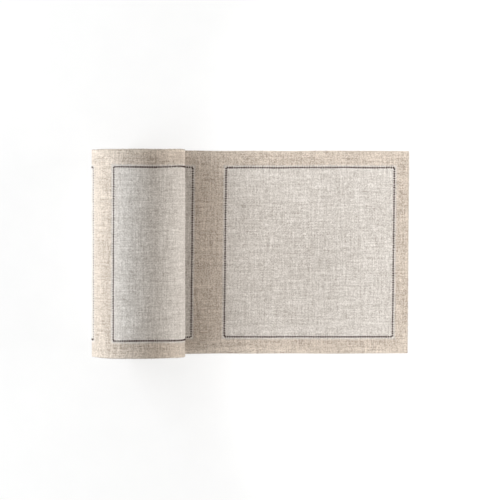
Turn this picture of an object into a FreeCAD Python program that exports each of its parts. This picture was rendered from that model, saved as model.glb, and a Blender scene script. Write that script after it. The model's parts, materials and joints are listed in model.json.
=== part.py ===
import FreeCAD
import Part
import os
from math import asin, cos, pi, sin, sqrt

# A roll of tear-off linen napkins. One long band of cloth is wound on a cardboard tube and cut
# into squares by perforated tear lines. The end napkin lies flat on the table, and the one
# before it bends up beside the roll and goes over its top.
#
# Row frame: X along the band, from the roll to its free end. Y across the band. Z up. The origin
# is on the table, under the middle of the whole object. Millimetres.
#
# Every piece follows one middle line, which is walked from the free end into the roll. Its face
# side is the upper side of the flat cloth and the outer side of the roll.

Vector = FreeCAD.Vector
SHORTEST_RUN = 1e-6  # a run shorter than this is left out
CUT_MARGIN = 0.1  # how far a cutting solid stands past what it cuts

# Band
NAPKINS = 20
CLOTH_WIDTH = 200.0
NAPKIN_LENGTH = 200.0
END_NAPKIN_LENGTH = 197.3  # its free edge is trimmed
CLOTH_THICKNESS = 0.6

# Roll
OVERALL_LENGTH = 311.2  # with the thread on the roll's flank
ROLL_RADIUS = 45.5  # to the outer face of the outermost turn
WINDING_PITCH = 1.0  # from one turn to the next
BEND_RADIUS = 6.0  # where the band turns from the table up to the roll

# Stitched square
STITCH_MARGIN = 16.4  # from a tear line, and from both side edges
END_STITCH_MARGIN = 14.7  # from the free edge
THREAD_WIDTH = 0.9
THREAD_HEIGHT = 0.2

# Perforated tear lines
SLIT = 0.3
TIE_WIDTH = 1.0
TIE_PITCH = 8.0
TIE_THICKNESS = 0.4

# Core tube
CORE_LENGTH = 198.0
CORE_OUTER_RADIUS = 29.0
CORE_BORE_RADIUS = 27.0

# Worked out from the dimensions above
MIDDLE_RADIUS = ROLL_RADIUS - CLOTH_THICKNESS / 2
CENTRE_STEP = WINDING_PITCH / 2
ROLL_X = ROLL_RADIUS + THREAD_HEIGHT - OVERALL_LENGTH / 2
ROLL_Z = ROLL_RADIUS - CENTRE_STEP + THREAD_HEIGHT  # the second half turn rests on its thread
TABLE_LINE = CLOTH_THICKNESS / 2


class Straight:
    """A level run of the middle line, towards -X."""

    def __init__(self, start_x, length):
        self.start_x = start_x
        self.length = length

    def point(self, along, offset):
        return Vector(self.start_x - along, 0, TABLE_LINE + offset)

    def edge(self, first, last, offset):
        return Part.LineSegment(self.point(first, offset), self.point(last, offset)).toShape()


class Bend:
    """An arc of the middle line. A turn above zero is one that keeps the centre on the back side."""

    def __init__(self, x, z, radius, start_angle, turn):
        self.x = x
        self.z = z
        self.radius = radius
        self.start_angle = start_angle
        self.way = 1 if turn > 0 else -1
        self.length = radius * abs(turn)

    def point(self, along, offset):
        angle = self.start_angle + self.way * along / self.radius
        reach = self.radius + self.way * offset
        return Vector(self.x + reach * cos(angle), 0, self.z + reach * sin(angle))

    def edge(self, first, last, offset):
        ends = (first, (first + last) / 2, last)
        return Part.Arc(*(self.point(along, offset) for along in ends)).toShape()


def middle_line():
    """The band's middle line as straight and bent runs, with the position along it of each start."""
    rise = ROLL_Z - TABLE_LINE - BEND_RADIUS
    reach = MIDDLE_RADIUS + BEND_RADIUS
    lean = asin(rise / reach)
    bend_x = ROLL_X + sqrt(reach**2 - rise**2)
    runs = [
        Straight(OVERALL_LENGTH / 2, OVERALL_LENGTH / 2 - bend_x),
        Bend(bend_x, TABLE_LINE + BEND_RADIUS, BEND_RADIUS, -pi / 2, -(pi / 2 + lean)),
        Bend(ROLL_X, ROLL_Z, MIDDLE_RADIUS, -lean, pi + lean),
    ]
    half_turn = 1
    while sum(run.length for run in runs) < band_length():
        centre_x = ROLL_X - CENTRE_STEP * (half_turn % 2)
        radius = MIDDLE_RADIUS - CENTRE_STEP * half_turn
        runs.append(Bend(centre_x, ROLL_Z, radius, half_turn * pi, pi))
        half_turn += 1
    placed = []
    position = 0.0
    for run in runs:
        placed.append((position, run))
        position += run.length
    return placed


def band_length():
    return END_NAPKIN_LENGTH + (NAPKINS - 1) * NAPKIN_LENGTH


def stretches(first, last):
    """The runs between two positions along the band, as (run, from, to)."""
    found = []
    for position, run in LINE:
        begin = max(first, position) - position
        end = min(last, position + run.length) - position
        if end - begin > SHORTEST_RUN:
            found.append((run, begin, end))
    return found


def slab(first, last, back, face, low_y, high_y):
    """A closed solid along the band, between two offsets from the middle line."""
    pieces = stretches(first, last)
    start, start_at, _ = pieces[0]
    stop, _, stop_at = pieces[-1]
    edges = [run.edge(begin, end, face) for run, begin, end in pieces]
    edges.append(Part.LineSegment(stop.point(stop_at, face), stop.point(stop_at, back)).toShape())
    edges += [run.edge(end, begin, back) for run, begin, end in reversed(pieces)]
    edges.append(Part.LineSegment(start.point(start_at, back), start.point(start_at, face)).toShape())
    profile = Part.Face(Part.Wire(edges))
    profile.translate(Vector(0, low_y, 0))
    return profile.extrude(Vector(0, high_y - low_y, 0))


def napkin_span(number):
    """Where a napkin starts and ends along the band."""
    end = END_NAPKIN_LENGTH + (number - 1) * NAPKIN_LENGTH
    length = END_NAPKIN_LENGTH if number == 1 else NAPKIN_LENGTH
    return end - length, end


def napkin(number):
    """One cloth square, half a slit short of each tear line."""
    first, last = napkin_span(number)
    if number > 1:
        first += SLIT / 2
    if number < NAPKINS:
        last -= SLIT / 2
    half = CLOTH_THICKNESS / 2
    return slab(first, last, -half, half, -CLOTH_WIDTH / 2, CLOTH_WIDTH / 2)


def stitching(number):
    """The closed square of thread on a napkin's face side."""
    first, last = napkin_span(number)
    first += END_STITCH_MARGIN if number == 1 else STITCH_MARGIN
    last -= STITCH_MARGIN
    side = CLOTH_WIDTH / 2 - STITCH_MARGIN
    back = CLOTH_THICKNESS / 2
    face = back + THREAD_HEIGHT
    inside = side - THREAD_WIDTH
    outer = slab(first, last, back, face, -side, side)
    first += THREAD_WIDTH
    last -= THREAD_WIDTH
    inner = slab(first, last, back - CUT_MARGIN, face + CUT_MARGIN, -inside, inside)
    return outer.cut(inner)


def tear_line(number):
    """The uncut ties that hold a napkin to the next one."""
    _, position = napkin_span(number)
    count = int(CLOTH_WIDTH // TIE_PITCH)
    ties = []
    for index in range(count):
        middle_y = (index - (count - 1) / 2) * TIE_PITCH
        low_y = middle_y - TIE_WIDTH / 2
        half = TIE_THICKNESS / 2
        ties.append(slab(position - SLIT / 2, position + SLIT / 2, -half, half, low_y, low_y + TIE_WIDTH))
    return Part.Compound(ties)


def core_tube():
    """The cardboard tube, centred between the two centres that the half turns have."""
    start = Vector(ROLL_X - CENTRE_STEP / 2, -CORE_LENGTH / 2, ROLL_Z)
    along = Vector(0, 1, 0)
    tube = Part.makeCylinder(CORE_OUTER_RADIUS, CORE_LENGTH, start, along)
    return tube.cut(Part.makeCylinder(CORE_BORE_RADIUS, CORE_LENGTH, start, along))


LINE = middle_line()


def main():
    os.makedirs("parts", exist_ok=True)
    shapes = {"core_tube": core_tube()}
    for number in range(1, NAPKINS + 1):
        shapes["napkin_%02d" % number] = napkin(number)
        shapes["napkin_%02d_stitching" % number] = stitching(number)
        if number < NAPKINS:
            shapes["tear_line_%02d" % number] = tear_line(number)
    for node, shape in shapes.items():
        shape.exportStep("parts/%s.step" % node)
    gap = shapes["core_tube"].distToShape(shapes["napkin_%02d" % NAPKINS])[0]
    print("core tube to the innermost turn: %.2f" % gap)
    box = Part.Compound(list(shapes.values())).BoundBox
    print("box x %.2f %.2f, y %.2f %.2f, z %.2f %.2f" % (
        box.XMin, box.XMax, box.YMin, box.YMax, box.ZMin, box.ZMax))


main()
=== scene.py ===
import json
import math

import bpy
import numpy as np
from mathutils import Matrix, Vector


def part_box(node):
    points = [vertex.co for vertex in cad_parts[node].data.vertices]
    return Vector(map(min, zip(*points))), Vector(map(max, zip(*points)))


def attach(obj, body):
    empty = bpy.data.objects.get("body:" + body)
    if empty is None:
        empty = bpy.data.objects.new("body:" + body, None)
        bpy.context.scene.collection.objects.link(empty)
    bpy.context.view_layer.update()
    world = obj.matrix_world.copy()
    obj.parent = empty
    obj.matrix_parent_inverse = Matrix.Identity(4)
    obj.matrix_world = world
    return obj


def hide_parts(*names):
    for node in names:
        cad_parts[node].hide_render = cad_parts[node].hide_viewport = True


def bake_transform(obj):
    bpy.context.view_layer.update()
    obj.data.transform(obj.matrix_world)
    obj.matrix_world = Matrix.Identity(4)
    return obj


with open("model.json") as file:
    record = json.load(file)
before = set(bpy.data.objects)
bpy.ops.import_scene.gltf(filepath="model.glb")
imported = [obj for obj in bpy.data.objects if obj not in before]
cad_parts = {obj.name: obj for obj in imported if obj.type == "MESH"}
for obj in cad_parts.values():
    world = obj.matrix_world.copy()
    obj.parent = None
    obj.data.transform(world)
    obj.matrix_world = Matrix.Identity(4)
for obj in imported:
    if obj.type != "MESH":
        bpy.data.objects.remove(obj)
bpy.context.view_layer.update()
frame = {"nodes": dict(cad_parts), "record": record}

# A roll of tear-off linen napkins, one end laid flat. Metres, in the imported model's own frame.
# All cloth and thread is placed by band coordinates: along the band from its free end, across it,
# and the height over its middle line, towards the face side.

MM = 0.001

# The band and the roll
NAPKINS = 20
VISIBLE = 3  # the napkins that show, from the free end
CLOTH = 0.50 * MM
WINDING_PITCH = 1.0 * MM
BEND_RADIUS = 6.0 * MM
STITCH_MARGIN = 16.4 * MM
END_STITCH_MARGIN = 14.7 * MM

# How the cloth lies: waves are (half height, length), all else is a length along the band
LONG_WAVE = (0.30 * MM, 95 * MM)
SHORT_WAVE = (0.10 * MM, 28 * MM)
WOUND_WAVE = (0.06 * MM, 60 * MM)
FOLD_LEVEL = 15 * MM  # the waves die out this near the line where the end napkin folds
END_RISE = 1.3 * MM
END_RISE_SPAN = (12 * MM, 110 * MM)
END_HANG = 0.5 * MM
END_HANG_SPAN = 20 * MM
SKEW = 0.0064  # how far the flat cloth lies out of square
EDGE_WAVE = (0.35 * MM, 70 * MM)
WINDING_DRIFT = (0.45 * MM, 160 * MM)
DRIFT_SPAN = 400 * MM

# Cloth mesh
ROWS = 101
FINE_COLUMNS = 101
COARSE_COLUMNS = (100, 99.8, 99.2, 97.5, 94, 88, 78, 62, 42, 20)  # percent of the half width
RIM = 0.18 * MM  # how far in from a cut edge the cloth starts to round over
RIM_BULGE = 0.12 * MM
TEAR_GAP = 0.02 * MM

# Yarn ends at the cut edges
FRAY_PITCH = 0.72 * MM
FRAY_ROOT = 0.5 * MM
FRAY_RADIUS = (0.10, 0.17)  # millimetres, least and most

# Stitches
STITCH_PITCH = 2.3 * MM
STITCH_RADIUS = 0.84 * MM
STITCH_FLATNESS = 0.45
STITCH_PLY = 0.14
STITCH_PLACE = 0.36  # a stitch's middle and half length, as shares of the pitch
STITCH_REACH = 0.375
STITCH_LEAN = 0.0045
STITCH_WANDER = (0.12 * MM, 55 * MM)
UNDER_RADIUS = 0.8 * MM  # the thread as it shows on the end napkin's back
UNDER_FLATNESS = 0.2

# Ties of the tear lines
TIE_PITCH = 8 * MM
TIE_YARNS = (-0.36, 0, 0.36)  # millimetres from the tie's middle
TIE_REACH = 0.7 * MM
TIE_RADIUS = (0.13, 0.17)  # millimetres, least and most

# Colours, and how far a yarn's tone goes from them
BORDER = (0.470, 0.405, 0.345)
FIELD = (0.525, 0.490, 0.455)
FLECK = (0.22, 0.15, 0.10)
STITCH_THREAD = (0.034, 0.011, 0.010)
YARN = 0.74 * MM
YARN_TONE = 1.75
CROSSING_TONE = 0.56
GRAIN_TONE = 0.10
TONE_REACH = 0.5  # the tone at which a yarn is as dark or as light as it gets
BORDER_CONTRAST = 0.55
FIELD_CONTRAST = 0.45

# Light
WORLD_LIGHT = 0.34
LEFT_POWER = 64.0
RIGHT_POWER = 29.0
SPOT_POWER = 26.0
OVERHEAD_POWER = 40.0
TABLE_GLOW = 0.63

joints = {joint["name"]: joint for joint in frame["record"]["behaviour"]["joints"]}
roll_x, _, roll_z = joints["roll_turn"]["pos_m"]
flat_low, flat_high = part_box("napkin_01")
over_low, over_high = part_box("napkin_02")
cad_cloth = flat_high.z - flat_low.z
free_end = flat_high.x
half_width = flat_high.y
end_length = free_end - joints["end_napkin_fold"]["pos_m"][0]
napkin_length = half_width * 2
table_line = cad_cloth / 2
middle_radius = over_high.z - roll_z - cad_cloth / 2


# The band's middle line

def make_runs():
    """(position, length, centre x, centre z, radius, start angle, way) of each run into the roll."""
    rise = roll_z - table_line - BEND_RADIUS
    reach = middle_radius + BEND_RADIUS
    lean = math.asin(rise / reach)
    bend_x = roll_x + math.sqrt(reach**2 - rise**2)
    found = [
        (free_end - bend_x, 0, 0, 0, 0, 0),
        (BEND_RADIUS * (math.pi / 2 + lean), bend_x, table_line + BEND_RADIUS, BEND_RADIUS,
         -math.pi / 2, -1),
        (middle_radius * (math.pi + lean), roll_x, roll_z, middle_radius, -lean, 1),
    ]
    half_turn = 1
    while sum(run[0] for run in found) < end_length + NAPKINS * napkin_length:
        radius = middle_radius - WINDING_PITCH / 2 * half_turn
        centre_x = roll_x - WINDING_PITCH / 2 * (half_turn % 2)
        found.append((math.pi * radius, centre_x, roll_z, radius, half_turn * math.pi, 1))
        half_turn += 1
    starts = np.cumsum([0] + [run[0] for run in found[:-1]])
    return [(start, *run) for start, run in zip(starts, found)]


RUNS = make_runs()
FLAT_END = RUNS[1][0]
ROLL_START = RUNS[2][0]


def smooth(value, low, high):
    """0 below low, 1 above high, and a smooth step between them."""
    share = np.clip((value - low) / (high - low), 0, 1)
    return share * share * (3 - 2 * share)


def ripple(along, across, seed, size):
    """A smooth uneven field from about -1 to 1, made of sine waves about this long."""
    waves = 7
    usual_peak = 3.2
    rng = np.random.default_rng(seed)
    field = np.zeros(np.broadcast(along, across).shape)
    for _ in range(waves):
        way = rng.uniform(0, 2 * math.pi)
        pace = 2 * math.pi / size * rng.uniform(0.6, 1.5)
        phase = rng.uniform(0, 2 * math.pi)
        field = field + np.sin(pace * (along * math.cos(way) + across * math.sin(way)) + phase)
    return field / usual_peak


def lift(along, across):
    """How far the cloth stands off its middle line: never down into the table or the turn below."""
    on_flat = 1 - smooth(along, FLAT_END - 30 * MM, FLAT_END + 5 * MM)
    wave = LONG_WAVE[0] * (1 + ripple(along, across, 11, LONG_WAVE[1]))
    wave = wave + SHORT_WAVE[0] * (1 + ripple(along, across, 12, SHORT_WAVE[1]))
    wave = wave * smooth(np.abs(along - end_length), 0, FOLD_LEVEL)
    end = END_RISE * (1 - smooth(along, *END_RISE_SPAN))
    end = end - END_HANG * (1 - smooth(along, 0, END_HANG_SPAN))
    wound = WOUND_WAVE[0] * ripple(along, across, 13, WOUND_WAVE[1])
    return on_flat * (np.maximum(wave, 0) + end) + (1 - on_flat) * wound


def on_band(along, across, height):
    """Points in the row frame for band coordinates."""
    along, across, height = np.broadcast_arrays(
        np.asarray(along, float), np.asarray(across, float), np.asarray(height, float))
    height = height + lift(along, across)
    x = free_end - along
    z = table_line + height
    for start, length, centre_x, centre_z, radius, start_angle, way in RUNS[1:]:
        here = along >= start
        angle = start_angle + way * (along - start) / max(radius, MM)
        reach = radius + way * height
        x = np.where(here, centre_x + reach * np.cos(angle), x)
        z = np.where(here, centre_z + reach * np.sin(angle), z)
    skew = SKEW * across * (1 - smooth(along, FLAT_END - 20 * MM, FLAT_END))
    edge = EDGE_WAVE[0] * ripple(along, 0 * across, 21, EDGE_WAVE[1]) * (across / half_width)
    drift = WINDING_DRIFT[0] * ripple(along, 0 * across, 22, WINDING_DRIFT[1])
    drift = drift * smooth(along, ROLL_START, ROLL_START + DRIFT_SPAN)
    return np.stack([x + skew, across + edge + drift, z], axis=-1)


def span(number):
    """Where a napkin starts and ends along the band."""
    end = end_length + (number - 1) * napkin_length
    return (0.0 if number == 1 else end - napkin_length), end


# Meshes

def make_object(name, points, faces, material, uvs=None):
    """A smooth mesh object. uvs holds one pair of numbers per point for each named UV layer."""
    mesh = bpy.data.meshes.new(name)
    mesh.from_pydata([tuple(p) for p in points], [], faces)
    corners = np.array([vertex for face in faces for vertex in face])
    for layer, values in (uvs or {}).items():
        made = mesh.uv_layers.new(name=layer)
        made.data.foreach_set("uv", np.asarray(values, np.float32)[corners].ravel())
    mesh.materials.append(material)
    mesh.shade_smooth()
    mesh.update()
    piece = bpy.data.objects.new(name, mesh)
    bpy.context.scene.collection.objects.link(piece)
    return piece


def grid_faces(rows, columns, first=0, wrap=False):
    """Quads over a grid of points that starts at this index, closed across where it wraps."""
    faces = []
    for i in range(rows - 1):
        for j in range(columns if wrap else columns - 1):
            k = (j + 1) % columns
            low, high = first + i * columns, first + (i + 1) * columns
            faces.append((low + j, low + k, high + k, high + j))
    return faces


def thread_mesh(starts, ends, radius, rise, sink, sides, rings, first=0, ply=0.0, taper=1.0, flat=1.0):
    """Short threads in band coordinates, each from a start to an end with its middle raised."""
    count = len(starts)
    share = np.linspace(-1, 1, rings)
    shape = np.sqrt(np.clip(1 - np.abs(share) ** 5, 0.03, 1))
    if taper < 1:
        shape = shape * (1 - (1 - taper) * (share + 1) / 2)
    middle = 1 - share**4
    turn = np.arange(sides) * 2 * math.pi / sides
    run = ends - starts
    way = run / np.linalg.norm(run, axis=1, keepdims=True)
    side = np.stack([-way[:, 1], way[:, 0]], axis=1)
    base = (starts + ends)[:, None, :] / 2 + run[:, None, :] / 2 * share[None, :, None]
    twist = 2.2
    spiral = 1 + ply * np.abs(np.cos(turn[None, :] + twist * share[:, None]))
    wide = radius[:, None, None] * shape[None, :, None] * spiral[None]
    plane = base[:, :, None, :] + side[:, None, None, :] * (wide * np.cos(turn))[..., None]
    height = (-sink + (rise + sink) * middle)[None, :, None] + flat * wide * np.sin(turn)
    points = on_band(plane[..., 0], plane[..., 1], height).reshape(-1, 3)
    uv = np.stack([plane[..., 0], plane[..., 1]], axis=-1).reshape(-1, 2)
    faces = []
    size = rings * sides
    for index in range(count):
        at = first + index * size
        faces += grid_faces(rings, sides, at, wrap=True)
        faces.append(tuple(at + j for j in reversed(range(sides))))
        faces.append(tuple(at + size - sides + j for j in range(sides)))
    return points, faces, uv


def across_stations(fine):
    """Where the cloth's columns of points lie. Hidden napkins only need them near the edges."""
    if fine:
        edge = half_width - RIM
        inside = np.linspace(-half_width, half_width, FINE_COLUMNS)[1:-1]
        return np.concatenate([[-half_width, -edge], inside, [edge, half_width]])
    edge = np.array(COARSE_COLUMNS) / 100 * half_width
    return np.concatenate([-edge, [0], edge[::-1]])


def rim_order(rows, columns):
    """The points round a grid's edge as (row, column), in order."""
    ring = [(0, j) for j in range(columns)]
    ring += [(i, columns - 1) for i in range(1, rows)]
    ring += [(rows - 1, j) for j in range(columns - 2, -1, -1)]
    ring += [(i, 0) for i in range(rows - 2, 0, -1)]
    return np.array(ring)


def cloth_mesh(number):
    """One napkin: two faces, a rounded rim, and the yarn ends that stand out of its cut edges."""
    first, last = span(number)
    first += TEAR_GAP if number > 1 else 0
    last -= TEAR_GAP if number < NAPKINS else 0
    along = np.linspace(first, last, ROWS)
    along = np.sort(np.append(along, (first + RIM, last - RIM)))
    across = across_stations(number <= VISIBLE)
    rows, columns = len(along), len(across)
    a, c = np.meshgrid(along, across, indexing="ij")
    top = on_band(a, c, CLOTH / 2).reshape(-1, 3)
    bottom = on_band(a, c, -CLOTH / 2).reshape(-1, 3)
    flat = np.stack([a, c], axis=-1).reshape(-1, 2)
    ring = rim_order(rows, columns)
    order = ring[:, 0] * columns + ring[:, 1]
    out_along = (ring[:, 0] == rows - 1).astype(float) - (ring[:, 0] == 0)
    out_across = (ring[:, 1] == columns - 1).astype(float) - (ring[:, 1] == 0)
    rim_along = a.ravel()[order] + out_along * min(RIM_BULGE, TEAR_GAP / 2)
    rim_across = c.ravel()[order] + out_across * RIM_BULGE
    rim = on_band(rim_along, rim_across, 0)
    face_points = rows * columns
    faces = [face[::-1] for face in grid_faces(rows, columns)]
    faces += grid_faces(rows, columns, face_points)
    count = len(order)
    for i in range(count):
        k = (i + 1) % count
        here, after = 2 * face_points + i, 2 * face_points + k
        faces.append((order[i], order[k], after, here))
        faces.append((here, after, face_points + order[k], face_points + order[i]))
    points = np.concatenate([top, bottom, rim])
    band = np.concatenate([flat, flat, np.stack([rim_along, rim_across], axis=1)])
    square = square_coordinates(number, band)
    square[face_points:] = 1.0  # a metre out of the square, so the back has no pale field
    frayed, frayed_faces, frayed_band = fray(number, len(points))
    points = np.concatenate([points, frayed])
    faces += frayed_faces
    band = np.concatenate([band, frayed_band])
    square = np.concatenate([square, np.ones((len(frayed), 2))])
    return points, [tuple(int(v) for v in face) for face in faces], {"band": band, "square": square}


def stitch_box(number):
    """Where the stitched square starts and ends along the band."""
    first, last = span(number)
    return first + (END_STITCH_MARGIN if number == 1 else STITCH_MARGIN), last - STITCH_MARGIN


def stitch_lean(number):
    """How far the square leans: only on the two napkins that lie out of square."""
    return STITCH_LEAN if number <= 2 else 0


def square_coordinates(number, band):
    """Metres from the middle of the stitched square, scaled so that it reaches as far both ways."""
    low, high = stitch_box(number)
    half = half_width - STITCH_MARGIN
    along = band[:, 0] + stitch_lean(number) * band[:, 1] - (low + high) / 2
    return np.stack([along / ((high - low) / 2), band[:, 1] / half], axis=1) * half


def fray(number, first_vertex):
    """Yarn ends that stand out of the side edges, and of the free end."""
    rng = np.random.default_rng(500 + number)
    low, high = span(number)
    starts, ends = [], []
    for way in (-1, 1):
        for along in np.arange(low + FRAY_PITCH, high - FRAY_PITCH / 2, FRAY_PITCH):
            reach = MM * (0.25 + rng.gamma(1.6, 0.16))
            at = along + rng.normal(0, 0.12) * MM
            starts.append((at, way * (half_width - FRAY_ROOT)))
            ends.append((at + rng.normal(0, 0.25) * reach, way * (half_width + reach)))
    if number == 1:
        for across in np.arange(-half_width + FRAY_PITCH, half_width, FRAY_PITCH):
            reach = MM * (0.2 + rng.gamma(1.6, 0.14))
            starts.append((FRAY_ROOT, across))
            ends.append((-reach, across + rng.normal(0, 0.25) * reach))
    starts, ends = np.array(starts), np.array(ends)
    radius = rng.uniform(*FRAY_RADIUS, len(starts)) * MM
    return thread_mesh(starts, ends, radius, rise=0.0, sink=0.05 * MM, sides=5, rings=4,
                       first=first_vertex, taper=0.45)


def stitches(number):
    """Running stitches round a napkin's square."""
    low, high = stitch_box(number)
    half = half_width - STITCH_MARGIN
    corners = [(low, -half), (low, half), (high, half), (high, -half)]
    lean = stitch_lean(number)
    rng = np.random.default_rng(900 + number)
    starts, ends = [], []
    for index, (a0, c0) in enumerate(corners):
        a1, c1 = corners[(index + 1) % 4]
        length = math.hypot(a1 - a0, c1 - c0)
        count = round(length / STITCH_PITCH)
        places = np.linspace(0, length, count + 1)
        wander = STITCH_WANDER[0] * ripple(places, 0.0, 40 * number + index, STITCH_WANDER[1])
        for k in range(count):
            middle = (k + STITCH_PLACE + rng.normal(0, 0.03) * min(k, 1)) / count
            reach = STITCH_REACH * (1 + rng.normal(0, 0.05)) / count
            drift = wander[k] * math.sin(math.pi * middle) ** 0.5
            for share, found in ((middle - reach, starts), (middle + reach, ends)):
                along = a0 + (a1 - a0) * share
                across = c0 + (c1 - c0) * share
                if a0 == a1:
                    along += drift
                else:
                    across += drift
                found.append((along - lean * across, across + rng.normal(0, 0.03) * MM))
    starts, ends = np.array(starts), np.array(ends)
    radius = STITCH_RADIUS * (1 + rng.normal(0, 0.06, len(starts)))
    fine = number <= VISIBLE
    sides, rings = (10, 9) if fine else (6, 5)
    # A wound napkin's thread lies deeper, clear of the turn above it and of the table.
    rise = CLOTH / 2 - (0.03 if number < VISIBLE else 0.11) * MM
    points, faces, uv = thread_mesh(starts, ends, radius, rise, -CLOTH / 2 + 0.2 * MM, sides, rings,
                                    ply=STITCH_PLY if fine else 0.0, flat=STITCH_FLATNESS)
    if number > 1:
        return points, faces, uv
    # The end napkin's back can be seen, and there the thread shows as well, as a thinner line.
    under = thread_mesh(starts, ends, UNDER_RADIUS * np.ones(len(starts)), -CLOTH / 2 + 0.11 * MM,
                        0.08 * MM, sides, rings, len(points), flat=UNDER_FLATNESS)
    return np.concatenate([points, under[0]]), faces + under[1], np.concatenate([uv, under[2]])


def ties(number):
    """The uncut yarns across a tear line, in small groups."""
    _, at = span(number)
    rng = np.random.default_rng(700 + number)
    count = int(half_width * 2 / TIE_PITCH)
    starts, ends = [], []
    for index in range(count):
        middle = (index - (count - 1) / 2) * TIE_PITCH
        for step in TIE_YARNS:
            across = middle + step * MM + rng.normal(0, 0.04) * MM
            starts.append((at - TIE_REACH, across))
            ends.append((at + TIE_REACH, across + rng.normal(0, 0.05) * MM))
    starts, ends = np.array(starts), np.array(ends)
    radius = rng.uniform(*TIE_RADIUS, len(starts)) * MM
    return thread_mesh(starts, ends, radius, rise=CLOTH / 2 - 0.04 * MM, sink=0, sides=6, rings=6)


# Shader nodes

def new_material(name):
    material = bpy.data.materials.new(name)
    material.use_nodes = True
    tree = material.node_tree
    return material, tree, tree.nodes["Principled BSDF"]


def math_node(tree, operation, first, second=None):
    """One arithmetic step. Each value is a socket or a plain number."""
    node = tree.nodes.new("ShaderNodeMath")
    node.operation = operation
    for socket, value in zip(node.inputs, (first, second)):
        if value is None:
            continue
        if isinstance(value, (int, float)):
            socket.default_value = value
        else:
            tree.links.new(value, socket)
    return node.outputs[0]


def total(tree, *terms):
    """The sum of values, each given as (value, weight)."""
    found = None
    for value, weight in terms:
        part = math_node(tree, "MULTIPLY", value, weight)
        found = part if found is None else math_node(tree, "ADD", found, part)
    return found


def centred(tree, value):
    return math_node(tree, "SUBTRACT", value, 0.5)


def opposite(tree, value):
    return math_node(tree, "SUBTRACT", 1.0, value)


def size_of(tree, value):
    return math_node(tree, "ABSOLUTE", value)


def arch(tree, place):
    """The round back of a yarn, from its place in yarn widths."""
    return size_of(tree, math_node(tree, "SINE", math_node(tree, "MULTIPLY", place, math.pi)))


def soft_step(tree, value, low, high):
    node = tree.nodes.new("ShaderNodeMapRange")
    node.interpolation_type = "SMOOTHSTEP"
    node.inputs["From Min"].default_value = low
    node.inputs["From Max"].default_value = high
    tree.links.new(value, node.inputs["Value"])
    return node.outputs["Result"]


def noise(tree, along, across, along_size, across_size, detail, shift):
    """Noise whose spots are this long along and across. A shift of its own sets it apart."""
    place = tree.nodes.new("ShaderNodeCombineXYZ")
    tree.links.new(math_node(tree, "DIVIDE", along, along_size), place.inputs[0])
    tree.links.new(math_node(tree, "DIVIDE", across, across_size), place.inputs[1])
    place.inputs[2].default_value = shift
    node = tree.nodes.new("ShaderNodeTexNoise")
    node.inputs["Scale"].default_value = 1.0
    node.inputs["Detail"].default_value = detail
    tree.links.new(place.outputs[0], node.inputs["Vector"])
    return node.outputs["Fac"]


def cell_noise(tree, first, second, seed):
    """A number of its own for each pair of whole numbers."""
    place = tree.nodes.new("ShaderNodeCombineXYZ")
    tree.links.new(first, place.inputs[0])
    tree.links.new(second, place.inputs[1])
    place.inputs[2].default_value = seed
    node = tree.nodes.new("ShaderNodeTexWhiteNoise")
    tree.links.new(place.outputs[0], node.inputs["Vector"])
    return node.outputs["Value"]


def mixed(tree, share, first, second):
    """From the first colour to the second by share. Each is a socket or a plain colour."""
    node = tree.nodes.new("ShaderNodeMix")
    node.data_type = "RGBA"
    for socket, value in ((node.inputs[0], share), (node.inputs[6], first), (node.inputs[7], second)):
        if isinstance(value, (int, float)):
            socket.default_value = value
        elif isinstance(value, tuple):
            socket.default_value = (*value, 1)
        else:
            tree.links.new(value, socket)
    return node.outputs[2]


def uv_parts(tree, name):
    uv = tree.nodes.new("ShaderNodeUVMap")
    uv.uv_map = name
    parts = tree.nodes.new("ShaderNodeSeparateXYZ")
    tree.links.new(uv.outputs[0], parts.inputs[0])
    return parts.outputs[0], parts.outputs[1]


def add_bump(tree, shader, height, strength, distance):
    bump = tree.nodes.new("ShaderNodeBump")
    bump.inputs["Strength"].default_value = strength
    bump.inputs["Distance"].default_value = distance
    tree.links.new(height, bump.inputs["Height"])
    tree.links.new(bump.outputs[0], shader.inputs["Normal"])


# Materials

def toned(colour, by):
    """A yarn darker or lighter than the cloth's mean. Dark yarns are a little warmer."""
    return tuple(value * (1 + by * weight) for value, weight in zip(colour, (0.94, 1.0, 1.06)))


def yarn_places(tree, along, across):
    """Each point's place in the weave, in yarn widths along and across. The yarns waver a little."""
    waver = noise(tree, along, across, 34 * MM, 26 * MM, detail=1.0, shift=1.0)
    waver_across = noise(tree, along, across, 26 * MM, 34 * MM, detail=1.0, shift=2.0)
    weft_place = total(tree, (along, 1 / YARN), (centred(tree, waver), 1.6))
    warp_place = total(tree, (across, 1 / YARN), (centred(tree, waver_across), 1.6))
    return weft_place, warp_place


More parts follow.
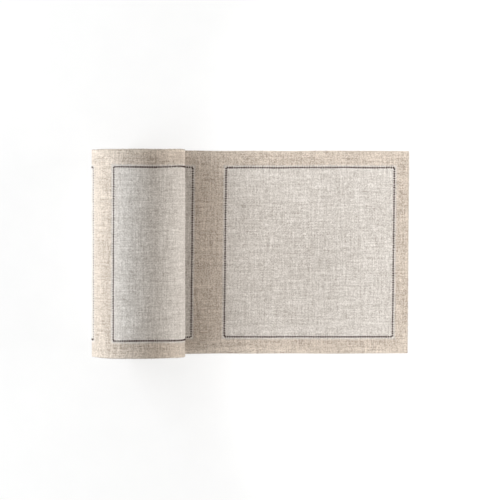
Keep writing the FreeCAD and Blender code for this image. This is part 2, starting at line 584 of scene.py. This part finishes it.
def linen():
    """Plain weave: every yarn has its own tone and thick and thin stretches, warp and weft by turns."""
    material, tree, shader = new_material("linen")
    along, across = uv_parts(tree, "band")
    square_along, square_across = uv_parts(tree, "square")
    weft_place, warp_place = yarn_places(tree, along, across)
    weft_index = math_node(tree, "FLOOR", weft_place)
    warp_index = math_node(tree, "FLOOR", warp_place)
    turn = math_node(tree, "FRACT", total(tree, (weft_index, 0.5), (warp_index, 0.5)))
    over = math_node(tree, "GREATER_THAN", turn, 0.25)
    # Long stretches of each yarn, and short ones
    warp = noise(tree, along, warp_index, 24 * MM, 0.27, detail=2.0, shift=3.0)
    weft = noise(tree, weft_index, across, 0.27, 24 * MM, detail=2.0, shift=7.0)
    warp_short = noise(tree, along, warp_index, 3.2 * MM, 0.21, detail=1.0, shift=11.0)
    weft_short = noise(tree, weft_index, across, 0.21, 3.2 * MM, detail=1.0, shift=13.0)
    warp_tone = total(tree, (centred(tree, warp), 1.0), (centred(tree, warp_short), 0.35))
    weft_tone = total(tree, (centred(tree, weft), 1.0), (centred(tree, weft_short), 0.35))
    yarn_tone = math_node(tree, "ADD", math_node(tree, "MULTIPLY", warp_tone, over),
                          math_node(tree, "MULTIPLY", weft_tone, opposite(tree, over)))
    # What isn't bound to one yarn
    crossing = centred(tree, cell_noise(tree, weft_index, warp_index, 5.0))
    cloud = centred(tree, noise(tree, along, across, 34 * MM, 26 * MM, detail=2.0, shift=17.0))
    grain = noise(tree, along, across, 1.5 * MM, 1.2 * MM, detail=2.0, shift=19.0)
    slub = math_node(tree, "ADD", soft_step(tree, warp_short, 0.70, 0.80),
                     soft_step(tree, weft_short, 0.70, 0.80))
    fleck = noise(tree, along, across, 1.6 * MM, 0.9 * MM, detail=1.0, shift=31.0)
    fleck = soft_step(tree, fleck, 0.73, 0.79)
    # The paler field reaches a little past the stitches, with an uneven edge.
    half = half_width - STITCH_MARGIN
    far = math_node(tree, "MAXIMUM", size_of(tree, square_along), size_of(tree, square_across))
    edge = total(tree, (far, 1.0), (crossing, 1.2 * MM), (centred(tree, grain), 3.0 * MM))
    field = opposite(tree, soft_step(tree, edge, half + 1.5 * MM, half + 3.2 * MM))
    # The cloth is a little lighter by the stitch line, a painted highlight for where the thread pulls
    # it up, and lighter towards its side edges.
    by_line = size_of(tree, math_node(tree, "SUBTRACT", far, half))
    painted_stitch_highlight = opposite(tree, soft_step(tree, by_line, 0.5 * MM, 1.8 * MM))
    # Paler towards the side edges: full within 3 mm of an edge, none from 9 mm in.
    paler_side_edges = soft_step(tree, size_of(tree, across), half_width - 9 * MM, half_width - 3 * MM)
    tone = total(tree, (yarn_tone, YARN_TONE), (crossing, CROSSING_TONE),
                 (centred(tree, grain), GRAIN_TONE), (cloud, 0.06), (slub, 0.08), (painted_stitch_highlight, 0.03),
                 (paler_side_edges, 0.07))
    share = total(tree, (tone, 1 / (2 * TONE_REACH)), (0.5, 1.0))
    share = math_node(tree, "MINIMUM", math_node(tree, "MAXIMUM", share, 0.0), 1.0)
    low = mixed(tree, field, toned(BORDER, -BORDER_CONTRAST), toned(FIELD, -FIELD_CONTRAST))
    high = mixed(tree, field, toned(BORDER, BORDER_CONTRAST), toned(FIELD, FIELD_CONTRAST))
    colour = mixed(tree, share, low, high)
    colour = mixed(tree, math_node(tree, "MULTIPLY", fleck, 0.45), colour, FLECK)
    tree.links.new(colour, shader.inputs["Base Color"])
    weave = math_node(tree, "MULTIPLY", arch(tree, warp_place), arch(tree, weft_place))
    height = total(tree, (weave, 0.6), (yarn_tone, 0.9), (crossing, 0.35), (slub, 0.5), (cloud, 2.0))
    add_bump(tree, shader, height, 0.55, 0.14 * MM)
    rough = tree.nodes.new("ShaderNodeMapRange")
    rough.inputs["To Min"].default_value = 0.82
    rough.inputs["To Max"].default_value = 0.98
    tree.links.new(grain, rough.inputs["Value"])
    tree.links.new(rough.outputs["Result"], shader.inputs["Roughness"])
    shader.inputs["Specular IOR Level"].default_value = 0.2
    shader.inputs["Sheen Weight"].default_value = 0.12
    shader.inputs["Sheen Roughness"].default_value = 0.6
    return material


def yarn_material(name, colour, spread, sheen):
    """Spun thread, its colour spread this far to both sides by ply and wear."""
    material, tree, shader = new_material(name)
    along, across = uv_parts(tree, "band")
    ply = noise(tree, along, across, 0.35 * MM, 0.35 * MM, detail=2.0, shift=41.0)
    wear = noise(tree, along, across, 9 * MM, 9 * MM, detail=1.0, shift=43.0)
    share = math_node(tree, "MULTIPLY", math_node(tree, "ADD", ply, wear), 0.5)
    dark = tuple(value * (1 - spread) for value in colour)
    light = tuple(value * (1 + spread) for value in colour)
    tree.links.new(mixed(tree, share, dark, light), shader.inputs["Base Color"])
    add_bump(tree, shader, ply, 0.6, 0.08 * MM)
    shader.inputs["Roughness"].default_value = 0.8
    shader.inputs["Specular IOR Level"].default_value = 0.12
    shader.inputs["Sheen Weight"].default_value = sheen
    return material


def cardboard():
    """Kraft board wound in a spiral, with a dark seam, fibres and blotches."""
    material, tree, shader = new_material("cardboard")
    place = tree.nodes.new("ShaderNodeTexCoord")
    parts = tree.nodes.new("ShaderNodeSeparateXYZ")
    tree.links.new(place.outputs["Object"], parts.inputs[0])
    x = math_node(tree, "SUBTRACT", parts.outputs[0], roll_x - WINDING_PITCH / 4)
    z = math_node(tree, "SUBTRACT", parts.outputs[2], roll_z)
    y = parts.outputs[1]
    angle = math_node(tree, "ARCTAN2", z, x)
    strip_width = 62 * MM
    tube_radius = 28 * MM
    advance = math_node(tree, "MULTIPLY", angle, strip_width / (2 * math.pi))
    wound = math_node(tree, "ADD", y, advance)
    seam = math_node(tree, "PINGPONG", wound, strip_width / 2)
    seam = opposite(tree, soft_step(tree, seam, 0.3 * MM, 0.9 * MM))
    round_way = math_node(tree, "MULTIPLY", angle, tube_radius)
    fibre = noise(tree, round_way, y, 7 * MM, 1.1 * MM, detail=4.0, shift=51.0)
    blotch = noise(tree, round_way, y, 24 * MM, 30 * MM, detail=3.0, shift=53.0)
    share = total(tree, (fibre, 0.6), (blotch, 0.4))
    base = mixed(tree, share, (0.26, 0.17, 0.10), (0.46, 0.34, 0.22))
    base = mixed(tree, math_node(tree, "MULTIPLY", seam, 0.55), base, (0.12, 0.08, 0.05))
    tree.links.new(base, shader.inputs["Base Color"])
    add_bump(tree, shader, math_node(tree, "SUBTRACT", fibre, seam), 0.5, 0.15 * MM)
    shader.inputs["Roughness"].default_value = 0.85
    shader.inputs["Specular IOR Level"].default_value = 0.25
    return material


# Camera, light and table

def camera():
    """Looks almost straight down, from a little left of and behind the middle."""
    data = bpy.data.cameras.new("camera")
    data.lens = 211.4
    data.clip_end = 20.0
    made = bpy.data.objects.new("camera", data)
    target = Vector((-0.0008, 0.0022, 0.0))
    place = Vector((-0.0445, 0.0524, 2.90))
    back = (place - target).normalized()
    right = Vector((0, 1, 0)).cross(back).normalized()
    turned = Matrix((right, back.cross(right), back)).transposed().to_4x4()
    made.matrix_world = Matrix.Translation(place) @ turned
    bpy.context.scene.collection.objects.link(made)
    bpy.context.scene.camera = made


def light(name, kind, place, aim, power, colour=(1, 1, 1)):
    data = bpy.data.lights.new(name, kind)
    data.energy = power
    data.color = colour
    made = bpy.data.objects.new(name, data)
    made.location = place
    made.rotation_mode = "QUATERNION"
    made.rotation_quaternion = (Vector(aim) - Vector(place)).to_track_quat("-Z", "Y")
    bpy.context.scene.collection.objects.link(made)
    return data


def soft_box(name, place, aim, power, colour, width, height):
    box = light(name, "AREA", place, aim, power, colour)
    box.shape = "RECTANGLE"
    box.size = width
    box.size_y = height


def spot(name, place, aim, power, blend):
    """A spot that reaches the laid end only, with a wide soft edge just right of the roll."""
    data = light(name, "SPOT", place, aim, power)
    data.spot_size = math.radians(40.0)
    data.spot_blend = blend
    data.shadow_soft_size = 0.02


def sky():
    """Even light from all sides, and plain white where the view goes past the table."""
    world = bpy.data.worlds.new("studio")
    world.use_nodes = True
    tree = world.node_tree
    even = tree.nodes["Background"]
    even.inputs["Color"].default_value = (1.035, 1.0, 0.95, 1)
    even.inputs["Strength"].default_value = WORLD_LIGHT
    backdrop = tree.nodes.new("ShaderNodeBackground")
    backdrop.inputs["Color"].default_value = (0.95, 0.95, 0.95, 1)
    path = tree.nodes.new("ShaderNodeLightPath")
    pick = tree.nodes.new("ShaderNodeMixShader")
    tree.links.new(path.outputs["Is Camera Ray"], pick.inputs[0])
    tree.links.new(even.outputs[0], pick.inputs[1])
    tree.links.new(backdrop.outputs[0], pick.inputs[2])
    tree.links.new(pick.outputs[0], tree.nodes["World Output"].inputs["Surface"])
    bpy.context.scene.world = world


def table():
    """A plain white table that glows a little."""
    material, tree, shader = new_material("floor")
    place = tree.nodes.new("ShaderNodeTexCoord")
    speckle = tree.nodes.new("ShaderNodeTexNoise")
    speckle.inputs["Scale"].default_value = 40.0
    tree.links.new(place.outputs["Object"], speckle.inputs["Vector"])
    colour = mixed(tree, speckle.outputs["Fac"], (0.34, 0.34, 0.34), (0.37, 0.37, 0.37))
    tree.links.new(colour, shader.inputs["Base Color"])
    shader.inputs["Roughness"].default_value = 0.9
    shader.inputs["Emission Color"].default_value = (1, 1, 1, 1)
    shader.inputs["Emission Strength"].default_value = TABLE_GLOW
    reach = 6.0
    corners = [(-reach, -reach, 0), (reach, -reach, 0), (reach, reach, 0), (-reach, reach, 0)]
    floor = make_object("floor", corners, [(0, 1, 2, 3)], material)
    floor.location.z = -0.02 * MM


def studio():
    """Low soft boxes to both sides, two wide spots on the laid end, and a faintly glowing table."""
    sky()
    soft_box("left_box", (-1.85, 0.25, 0.70), (0, 0, 0.04), LEFT_POWER, (0.96, 1.0, 1.03), 3.0, 0.5)
    soft_box("right_box", (1.95, 0.0, 0.46), (0, 0, 0.02), RIGHT_POWER, (1.03, 1.0, 0.96), 1.2, 0.5)
    spot("laid_end_spot", (-0.6, 0.0, 1.4), (0.598, 0, 0), SPOT_POWER, 0.34)
    spot("overhead_spot", (0.05, 0.0, 1.6), (0.468, 0, 0), OVERHEAD_POWER, 0.40)
    table()
    bpy.context.scene.view_settings.view_transform = "Standard"


# The pieces

def settle(piece, number, node):
    """Rides a cloth or thread piece on its body. The second napkin crosses from flat to roll."""
    if number == 1:
        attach(piece, "end_napkin")
    elif number == 2:
        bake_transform(piece)
    else:
        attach(piece, "roll")
    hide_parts(node)


def make_napkin(number, cloth, dark_thread):
    name = "napkin_%02d" % number
    points, faces, uvs = cloth_mesh(number)
    napkin = make_object(name + "_cloth", points, faces, cloth, uvs)
    settle(napkin, number, name)
    points, faces, uv = stitches(number)
    sewn = make_object(name + "_stitches", points, faces, dark_thread, {"band": uv})
    settle(sewn, number, name + "_stitching")


def make_tear_line(number, tie_thread):
    points, faces, uv = ties(number)
    tie = make_object("tear_line_%02d_ties" % number, points, faces, tie_thread, {"band": uv})
    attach(tie, "tear_ties" if number == 1 else "roll")
    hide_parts("tear_line_%02d" % number)


def build():
    cloth = linen()
    dark_thread = yarn_material("stitch_thread", STITCH_THREAD, spread=0.3, sheen=0.0)
    tie_thread = yarn_material("tie_yarn", BORDER, spread=0.15, sheen=0.1)
    for number in range(1, NAPKINS + 1):
        make_napkin(number, cloth, dark_thread)
        if number < NAPKINS:
            make_tear_line(number, tie_thread)
    board = cardboard()
    for slot in frame["nodes"]["core_tube"].material_slots:
        slot.material = board


camera()
studio()
build()
